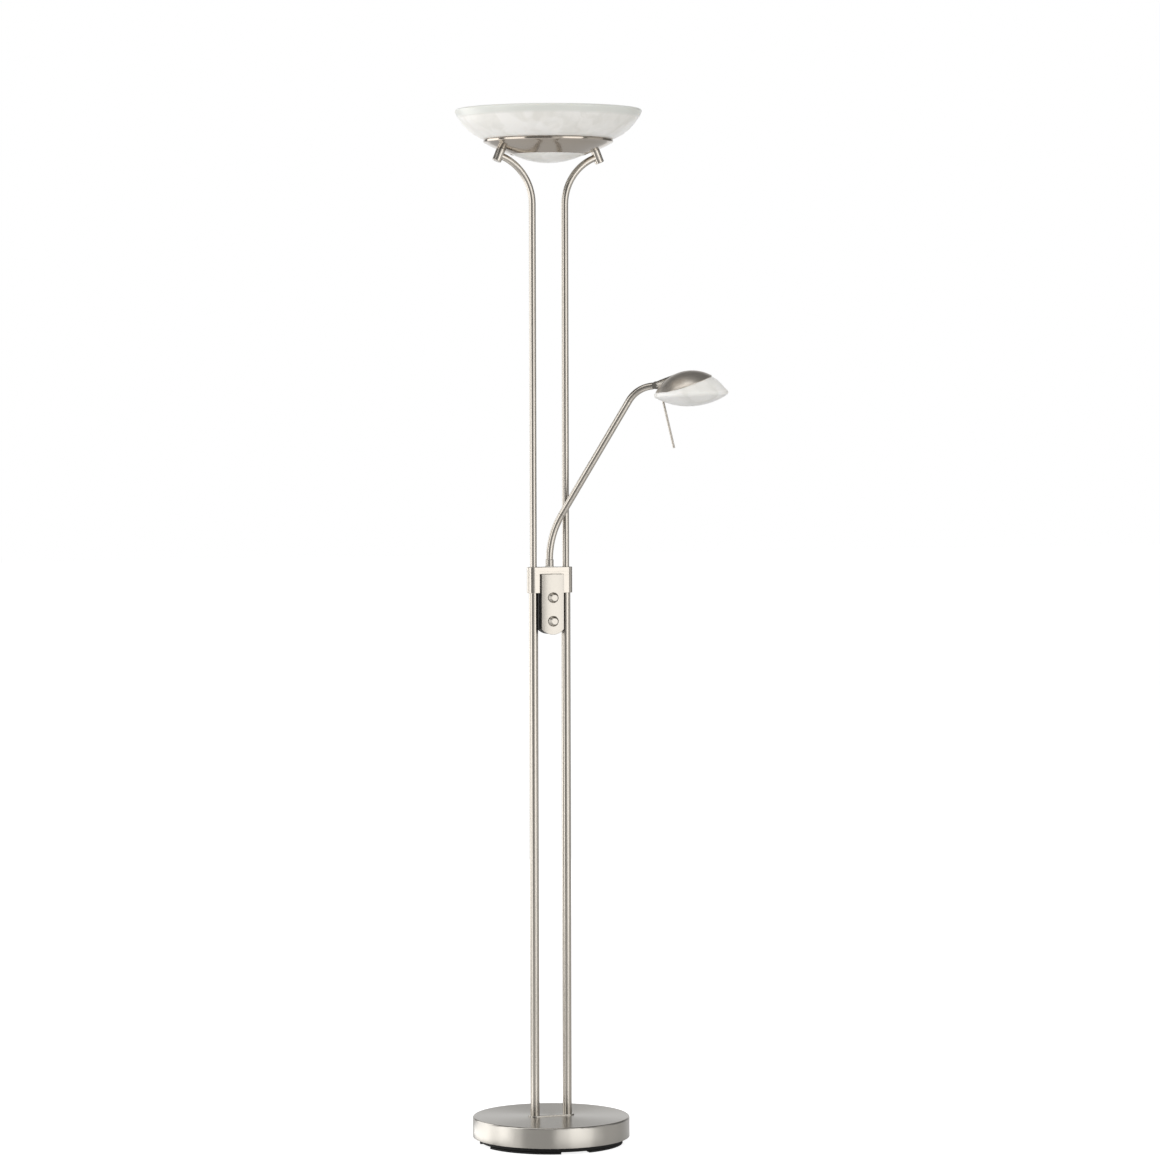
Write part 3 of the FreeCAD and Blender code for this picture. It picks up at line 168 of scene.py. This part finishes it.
def nickel_casting():
    """Zinc die casting, nickel plated and satin polished: softer and a little uneven beside the tubes."""
    material, tree, shader, place = new_finish("nickel_casting", "#ABA69E", 0.24, Metallic=1.0)
    haze = add_node(tree, "ShaderNodeTexNoise", {"Scale": per_mm(2.5), "Detail": 4.0}, {"Vector": place})
    vary(tree, shader, haze.outputs["Fac"], "Roughness", 0.2, 0.27)
    return material


def zinc_plated_steel():
    """Turned steel, zinc plated: bluish, bright, with fine tool marks."""
    material, tree, shader, place = new_finish("zinc_plated_steel", "#C3C6C9", 0.3, Metallic=1.0)
    marks = add_node(tree, "ShaderNodeTexNoise", {"Scale": per_mm(0.8), "Detail": 4.0}, {"Vector": place})
    vary(tree, shader, marks.outputs["Fac"], "Roughness", 0.22, 0.42)
    emboss(tree, shader, marks.outputs["Fac"], 0.02, 0.4)
    return material


def cast_iron():
    """Grey iron cast in sand, left raw: dark, dull, grainy all over."""
    material, tree, shader, place = new_finish("cast_iron", "#4A4846", 0.75, Metallic=0.6)
    sand = add_node(tree, "ShaderNodeTexNoise", {"Scale": per_mm(1.5), "Detail": 6.0}, {"Vector": place})
    tint(tree, shader, sand.outputs["Fac"], "#3A3836", "#57534F")
    vary(tree, shader, sand.outputs["Fac"], "Roughness", 0.65, 0.85)
    emboss(tree, shader, sand.outputs["Fac"], 0.25)
    return material


def moulded_plastic(name, shade, light, gloss):
    """Injection moulded plastic with a fine spark-eroded texture, which breaks its gloss."""
    material, tree, shader, place = new_finish(name, shade, gloss, IOR=1.53, Specular_IOR_Level=0.3)
    sparks = add_node(tree, "ShaderNodeTexNoise", {"Scale": per_mm(0.7), "Detail": 4.0}, {"Vector": place})
    tint(tree, shader, sparks.outputs["Fac"], shade, light)
    vary(tree, shader, sparks.outputs["Fac"], "Roughness", gloss - 0.06, gloss + 0.1)
    emboss(tree, shader, sparks.outputs["Fac"], 0.03, 0.5)
    return material


def pad_rubber():
    """Pressed rubber: black, matt, with a slight bloom."""
    material, tree, shader, place = new_finish("pad_rubber", "#1C1C1C", 0.8, IOR=1.52)
    bloom = add_node(tree, "ShaderNodeTexNoise", {"Scale": per_mm(4), "Detail": 5.0}, {"Vector": place})
    tint(tree, shader, bloom.outputs["Fac"], "#171717", "#282726")
    vary(tree, shader, bloom.outputs["Fac"], "Roughness", 0.7, 0.9)
    emboss(tree, shader, bloom.outputs["Fac"], 0.05)
    return material


def glass_laminate():
    """Glass-fibre epoxy board under green lacquer: a fine square weave shows through."""
    material, tree, shader, place = new_finish("glass_laminate", "#1F5A38", 0.35, IOR=1.55)
    weave = add_node(tree, "ShaderNodeTexChecker", {
        "Scale": per_mm(0.9), "Color1": linear("#1D5535"), "Color2": linear("#256A43")}, {"Vector": place})
    tree.links.new(weave.outputs["Color"], shader.inputs["Base Color"])
    vary(tree, shader, weave.outputs["Fac"], "Roughness", 0.3, 0.42)
    return material


def clouded_glass():
    """Pressed white glass, clouded like alabaster and acid polished: faint veins, satin skin, and a greyer
    rim band of painted shade.
    """
    material, tree, shader, place = new_finish(
        "clouded_glass", "#F4F2ED", 0.3, IOR=1.5, Subsurface_Weight=0.25,
        Subsurface_Radius=(0.006, 0.0055, 0.005), Subsurface_Scale=1.0)
    drift = add_node(tree, "ShaderNodeTexNoise", {"Scale": per_mm(70), "Detail": 3.0}, {"Vector": place})
    swirled = add_node(tree, "ShaderNodeMixRGB", {"Fac": 0.12}, {
        "Color1": place, "Color2": drift.outputs["Color"]})
    clouds = add_node(tree, "ShaderNodeTexNoise", {
        "Scale": per_mm(45), "Detail": 4.0, "Roughness": 0.5, "Distortion": 0.6}, {
        "Vector": swirled.outputs["Color"]})
    veins = tint(tree, shader, clouds.outputs["Fac"], "#E3E1DB", "#F0EEEA", 0.36, 0.62)
    # Painted shade: the band below the bowl's rim is drawn greyer than the rest of the glass, by height.
    height = add_node(tree, "ShaderNodeSeparateXYZ", {}, {"Vector": place})
    rim_shade_mask = add_node(tree, "ShaderNodeMapRange", {
        "From Min": (BOWL_RIM_LEVEL - BOWL_BAND - 3) * MM,
        "From Max": (BOWL_RIM_LEVEL - BOWL_BAND + 2) * MM}, {"Value": height.outputs["Z"]})
    painted_rim_shade = add_node(tree, "ShaderNodeMixRGB", {"Color2": linear("#D9DAD4")}, {
        "Fac": rim_shade_mask.outputs["Result"], "Color1": veins.outputs["Color"]})
    tree.links.new(painted_rim_shade.outputs["Color"], shader.inputs["Base Color"])
    vary(tree, shader, clouds.outputs["Fac"], "Roughness", 0.26, 0.36)
    return material


def quartz_glass():
    """Clear quartz tube of a halogen lamp: colourless and bright, with thin drawn streaks."""
    material, tree, shader, place = new_finish(
        "quartz_glass", "#F4F6F7", 0.03, IOR=1.46, Transmission_Weight=1.0)
    streaks = add_node(tree, "ShaderNodeTexNoise", {"Scale": per_mm(3), "Detail": 2.0}, {"Vector": place})
    vary(tree, shader, streaks.outputs["Fac"], "Roughness", 0.02, 0.06)
    return material


def steatite():
    """Unglazed steatite, pressed and fired: chalky off-white with a tight grain."""
    material, tree, shader, place = new_finish("steatite", "#E6E0D4", 0.62, IOR=1.55)
    grain = add_node(tree, "ShaderNodeTexNoise", {"Scale": per_mm(1.2), "Detail": 5.0}, {"Vector": place})
    tint(tree, shader, grain.outputs["Fac"], "#DDD6C8", "#EDE8DE")
    vary(tree, shader, grain.outputs["Fac"], "Roughness", 0.55, 0.72)
    emboss(tree, shader, grain.outputs["Fac"], 0.04)
    return material


def bright_aluminium():
    """Bright rolled aluminium sheet: silvery, with faint rolling lines along the lamp."""
    material, tree, shader, place = new_finish("bright_aluminium", "#E4E5E6", 0.2, Metallic=1.0)
    rolled = add_node(tree, "ShaderNodeMapping", {"Scale": (0.05, 1, 1)}, {"Vector": place})
    lines = add_node(tree, "ShaderNodeTexNoise", {"Scale": per_mm(0.8), "Detail": 3.0}, {
        "Vector": rolled.outputs[0]})
    vary(tree, shader, lines.outputs["Fac"], "Roughness", 0.14, 0.28)
    emboss(tree, shader, lines.outputs["Fac"], 0.01, 0.4)
    return material


def turned_brass():
    """Free-cutting brass off the lathe: yellow, with fine turning marks."""
    material, tree, shader, place = new_finish("turned_brass", "#C9A55C", 0.26, Metallic=1.0)
    marks = add_node(tree, "ShaderNodeTexNoise", {"Scale": per_mm(0.6), "Detail": 3.0}, {"Vector": place})
    vary(tree, shader, marks.outputs["Fac"], "Roughness", 0.2, 0.36)
    return material


TUBE, SPUN, DOME, POLISHED = satin_nickel_tube(), spun_nickel(), satin_nickel_dome(), polished_nickel()
CASTING = nickel_casting()
ZINC, IRON, RUBBER, BOARD = zinc_plated_steel(), cast_iron(), pad_rubber(), glass_laminate()
BLACK = moulded_plastic("black_moulded_plastic", "#0E0D0C", "#171614", 0.6)
WHITE = moulded_plastic("white_moulded_plastic", "#D9D7D0", "#E3E1DB", 0.42)
CLOUDED, QUARTZ, CERAMIC = clouded_glass(), quartz_glass(), steatite()
ALUMINIUM, BRASS = bright_aluminium(), turned_brass()

FINISHES = {
    "satin_nickel": TUBE, "nickel_casting": CASTING, "zinc_steel": ZINC, "cast_ballast": IRON,
    "black_plastic": BLACK, "white_plastic": WHITE, "pad_rubber": RUBBER, "circuit_board": BOARD,
    "alabaster_glass": CLOUDED, "lamp_glass": QUARTZ, "steatite": CERAMIC,
    "bright_aluminium": ALUMINIUM, "brass": BRASS,
}
SPECIAL_FINISHES = {
    "base_cover": SPUN, "foot_plate": SPUN, "head_cap": DOME, "shade_dish": POLISHED, "collar": TUBE,
    "shade_bracket_left": TUBE, "shade_bracket_right": TUBE, "knuckle_pin": CASTING}

for entry in frame["record"]["subparts"]:
    node = entry["node"]
    finish = SPECIAL_FINISHES.get(node, FINISHES[entry["material_slot"]])
    part = frame["nodes"][node]
    part.data.materials.clear()
    part.data.materials.append(finish)


# --- turned pieces -----------------------------------------------------------------------------------

def arc(centre, radius, start, end, steps):
    """Points on an arc of a half section, from one angle to another in degrees."""
    angles = [math.radians(start + (end - start) * step / steps) for step in range(steps + 1)]
    return [(centre[0] + radius * math.cos(angle), centre[1] + radius * math.sin(angle)) for angle in angles]


def turned(name, section, segments=144):
    """Turned piece about z: a circle is extruded ring by ring along a half section, and closed at its end."""
    bpy.ops.object.select_all(action="DESELECT")
    radius, height = section[0]
    bpy.ops.mesh.primitive_circle_add(vertices=segments, radius=radius * MM)
    piece = bpy.context.object
    piece.name = name
    bpy.ops.object.mode_set(mode="EDIT")
    bpy.ops.mesh.select_all(action="SELECT")
    bpy.ops.transform.translate(value=(0, 0, height * MM))
    way_round = section[1:] + ([] if section[0][0] == CLOSED_TIP else section[:1])
    for next_radius, next_height in way_round:
        bpy.ops.mesh.extrude_edges_move(TRANSFORM_OT_translate={"value": (0, 0, (next_height - height) * MM)})
        share = next_radius / radius
        bpy.ops.transform.resize(value=(share, share, 1), center_override=(0, 0, next_height * MM))
        radius, height = next_radius, next_height
    bpy.ops.mesh.select_all(action="SELECT")
    bpy.ops.mesh.remove_doubles(threshold=0.01 * MM)
    bpy.ops.mesh.normals_make_consistent(inside=False)
    bpy.ops.object.mode_set(mode="OBJECT")
    bpy.ops.object.shade_smooth_by_angle(angle=math.radians(32))
    return piece


def settle(piece, origin, tilt, roll=0.0):
    """Moves a piece of the head from z to its place: leaned back along the arm, then rolled to the front."""
    side = Vector((0, 0, 1)).cross(ARM_DIRECTION)
    upwards = Vector((0, 0, 1)) * math.cos(tilt) - ARM_DIRECTION * math.sin(tilt)
    along = ARM_DIRECTION * math.cos(tilt) + Vector((0, 0, 1)) * math.sin(tilt)
    rolled_up = upwards * math.cos(roll) - side * math.sin(roll)
    rolled_side = side * math.cos(roll) + upwards * math.sin(roll)
    turn = Matrix((along, rolled_side, rolled_up)).transposed().to_4x4()
    piece.matrix_world = Matrix.Translation(Vector(origin) * MM) @ turn
    bpy.ops.object.transform_apply(location=True, rotation=True, scale=True)


def stand_for(piece, finish, body, node):
    """Gives a piece its finish and the body it rides on, and puts it in the place of a plain solid."""
    piece.data.materials.append(finish)
    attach(piece, body)
    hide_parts(node)


def drill(piece, radius, start, direction, length):
    """Cuts a round way through a piece, from a start in mm along a direction."""
    bpy.ops.object.select_all(action="DESELECT")
    middle = (Vector(start) + Vector(direction) * length / 2) * MM
    bpy.ops.mesh.primitive_cylinder_add(vertices=48, radius=radius * MM, depth=length * MM)
    tool = bpy.context.object
    aim = Vector(direction).to_track_quat("Z", "Y").to_matrix().to_4x4()
    tool.matrix_world = Matrix.Translation(middle) @ aim
    way = piece.modifiers.new("way", "BOOLEAN")
    way.object, way.operation, way.solver = tool, "DIFFERENCE", "EXACT"
    bpy.context.view_layer.objects.active = piece
    bpy.ops.object.modifier_apply(modifier="way")
    bpy.data.objects.remove(tool, do_unlink=True)


def model_dish():
    """Spun dish that turns up towards a thin rolled bead, on which the bowl stands."""
    under = [(66, 1724), (79, 1729.3), (92, 1734.6), (99, 1737.8), (105, 1741), (109, 1743.6)]
    bead = arc((110.8, 1746), 1.7, -70, 0, 6) + arc((110.8, 1748), 1.7, 0, 170, 10)
    inside = [(108.4, 1745.4), (104.2, 1742.4), (98.4, 1739.3), (91.4, 1736.2), (66, 1725.6)]
    stand_for(turned("rolled_dish", under + bead + inside), POLISHED, "stand", "shade_dish")


def model_bowl():
    """Bowl with a slightly swollen rim band and a fire-rounded edge."""
    foot, band = -78.9, -29.5
    half_wall = (BOWL_WALL + BOWL_SWELL) / 2
    middle = BOWL_RADIUS + BOWL_SWELL - half_wall
    rim_drop = BOWL_CENTRE[1] - BOWL_RIM_LEVEL + half_wall
    rim_angle = -math.degrees(math.asin(rim_drop / middle))
    rim = (BOWL_CENTRE[0] + middle * math.cos(math.radians(rim_angle)), BOWL_RIM_LEVEL - half_wall)
    outside = arc(BOWL_CENTRE, BOWL_RADIUS, foot, band - 1, 36)
    swollen = arc(BOWL_CENTRE, BOWL_RADIUS + BOWL_SWELL, band, rim_angle, 6)
    edge = arc(rim, half_wall, rim_angle, rim_angle + 180, 12)
    inside = arc(BOWL_CENTRE, BOWL_RADIUS - BOWL_WALL, rim_angle - 1, foot, 36)
    stand_for(turned("glass_bowl", outside + swollen + edge + inside), CLOUDED, "stand",
              "shade_glass")


def model_head_cap():
    """Domed cap of the reading head, pressed from sheet, with a folded edge."""
    outer = [(CLOSED_TIP, 71)] + arc((0, 0), 71, 88, 43.8, 26)
    fold = arc((70.4 * math.cos(math.radians(43.4)), 70.4 * math.sin(math.radians(43.4))), 0.75, 40, -130, 8)
    inner = arc((0, 0), 70.1, 43.6, 88, 26) + [(CLOSED_TIP, 70.1)]
    cap = turned("domed_cap", outer + fold + inner)
    settle(cap, HEAD_CENTRE, CAP_TILT, CAP_ROLL)
    stand_for(cap, DOME, "head", "head_cap")


def model_head_glass():
    """Saucer-shaped glass of the reading head: shallow bowl below, soft edge, dome under the cap."""
    edge, bowl_centre = (59.2, 30.4), (0, 130.1)
    edge_radius, bowl_radius, dome_radius, wall = 5, 121.1, 69.8, 3.5

    def skin(depth):
        below = arc(bowl_centre, bowl_radius - depth, -89.5, -59.3, 24)
        side = arc(edge, edge_radius - depth, -59.3, 38, 10)
        above = arc((0, 0), dome_radius - depth, 34, 64.5, 20)
        return [(CLOSED_TIP, bowl_centre[1] - bowl_radius + depth)] + below + side + above

    glass = turned("saucer_glass", skin(0) + skin(wall)[::-1])
    settle(glass, HEAD_CENTRE, GLASS_TILT)
    rod, rod_way, boss_way = (-0.19509, 0.12191, 0.97318), 2.5, 4.8
    drill(glass, rod_way, (187.1124, -116.9208, 1215.0009), rod, 110)
    drill(glass, boss_way, (168.3835, -105.2177, 1308.426), rod, 30)
    stand_for(glass, CLOUDED, "head", "head_glass")


model_dish()
model_bowl()
model_head_cap()
model_head_glass()


# --- studio ------------------------------------------------------------------------------------------

CAMERA_TURN = math.radians(-20)
CAMERA_DISTANCE = 7.37
CAMERA_HEIGHT = 1.267
CAMERA_DIP = math.radians(2.19)
CAMERA_ROLL = math.radians(-0.17)
FLOOR_SIZE = 60
FLOOR_PANEL = 0.01
TOWARDS_CAMERA = Vector((math.sin(CAMERA_TURN), -math.cos(CAMERA_TURN), 0))


def place_camera():
    """Camera with a long lens, a little to the left of the front, tipped slightly down."""
    lens = bpy.data.cameras.new("camera")
    lens.lens, lens.sensor_width = 131.4, 36
    lens.shift_x = 0.0262
    lens.clip_end = FLOOR_SIZE
    camera = bpy.data.objects.new("camera", lens)
    bpy.context.scene.collection.objects.link(camera)
    aim = Matrix.Rotation(CAMERA_TURN, 4, "Z") @ Matrix.Rotation(math.radians(90) - CAMERA_DIP, 4, "X")
    roll = Matrix.Rotation(CAMERA_ROLL, 4, "Z")
    spot = TOWARDS_CAMERA * CAMERA_DISTANCE + Vector((0, 0, CAMERA_HEIGHT))
    camera.matrix_world = Matrix.Translation(spot) @ aim @ roll
    bpy.context.scene.camera = camera


def softbox(name, turn, distance, height, size, brightness):
    """Soft light, turned by degrees from the camera's side. It faces the lamp, or up from the floor."""
    light = bpy.data.lights.new(name, "AREA")
    light.shape, light.size, light.size_y = "RECTANGLE", size[0], size[1]
    light.energy = brightness * math.pi * size[0] * size[1]
    lamp = bpy.data.objects.new(name, light)
    lamp.visible_camera = False
    bpy.context.scene.collection.objects.link(lamp)
    angle = CAMERA_TURN + math.radians(turn)
    spot = Vector((math.sin(angle), -math.cos(angle), 0)) * distance + Vector((0, 0, height))
    if height > FLOOR_PANEL:
        facing = (Vector((0, 0, 1.0)) - spot).to_track_quat("-Z", "Y").to_matrix().to_4x4()
    else:
        facing = Matrix.Rotation(angle, 4, "Z") @ Matrix.Rotation(math.pi, 4, "X")
    lamp.matrix_world = Matrix.Translation(spot) @ facing


def studio_glow(tree, plain, white, mirrored):
    """Strength that is white to the camera and through glass, another one in metal, and plain to the rest."""
    rays = add_node(tree, "ShaderNodeLightPath")
    seen = add_node(tree, "ShaderNodeMath", {"operation": "MAXIMUM"}, {
        0: rays.outputs["Is Camera Ray"], 1: rays.outputs["Is Transmission Ray"]})
    strength = add_node(tree, "ShaderNodeMix", {"A": plain, "B": mirrored}, {
        "Factor": rays.outputs["Is Glossy Ray"]})
    return add_node(tree, "ShaderNodeMix", {"B": white}, {
        "Factor": seen.outputs[0], "A": strength.outputs["Result"]}).outputs["Result"]


def build_studio():
    """White floor in a white room, with softboxes round the lamp and two light panels on the floor."""
    bpy.ops.object.select_all(action="DESELECT")
    bpy.ops.mesh.primitive_plane_add(size=FLOOR_SIZE, location=(0, 0, 0))
    floor = bpy.context.object
    floor.name = "studio_floor"
    paper, tree, shader, place = new_finish("floor_paper", "#BCBCBC", 0.9)
    shader.inputs["Emission Color"].default_value = (1, 1, 1, 1)
    tree.links.new(studio_glow(tree, 0.0, 0.85, 0.25), shader.inputs["Emission Strength"])
    floor.data.materials.append(paper)

    world = bpy.data.worlds.new("studio_room")
    bpy.context.scene.world = world
    world.use_nodes = True
    room = world.node_tree.nodes["Background"]
    room.inputs["Color"].default_value = (1, 1, 1, 1)
    world.node_tree.links.new(studio_glow(world.node_tree, 0.36, 1.0, 0.18), room.inputs["Strength"])

    softbox("left_softbox", -62, 2.1, 1.2, (1.5, 2.5), 2.1)
    softbox("right_softbox", 44, 2.1, 1.2, (1.4, 2.5), 1.95)
    softbox("front_softbox", 15, 2.6, 1.2, (0.7, 2.6), 0.7)
    softbox("side_softbox", 92, 2.6, 1.2, (1.8, 2.6), 0.5)
    softbox("rear_softbox", -117, 2.6, 1.2, (1.8, 2.5), 2.4)
    softbox("back_softbox", 180, 4.5, 1.8, (4.5, 3.4), 0.6)
    softbox("left_panel", -76, 0.55, FLOOR_PANEL, (0.26, 0.8), 1.9)
    softbox("right_panel", 29, 0.58, FLOOR_PANEL, (0.2, 0.8), 1.5)
    softbox("top_softbox", -30, 1.3, 4.0, (2.8, 2.8), 1.5)


bpy.context.scene.view_settings.view_transform = "Standard"
place_camera()
build_studio()
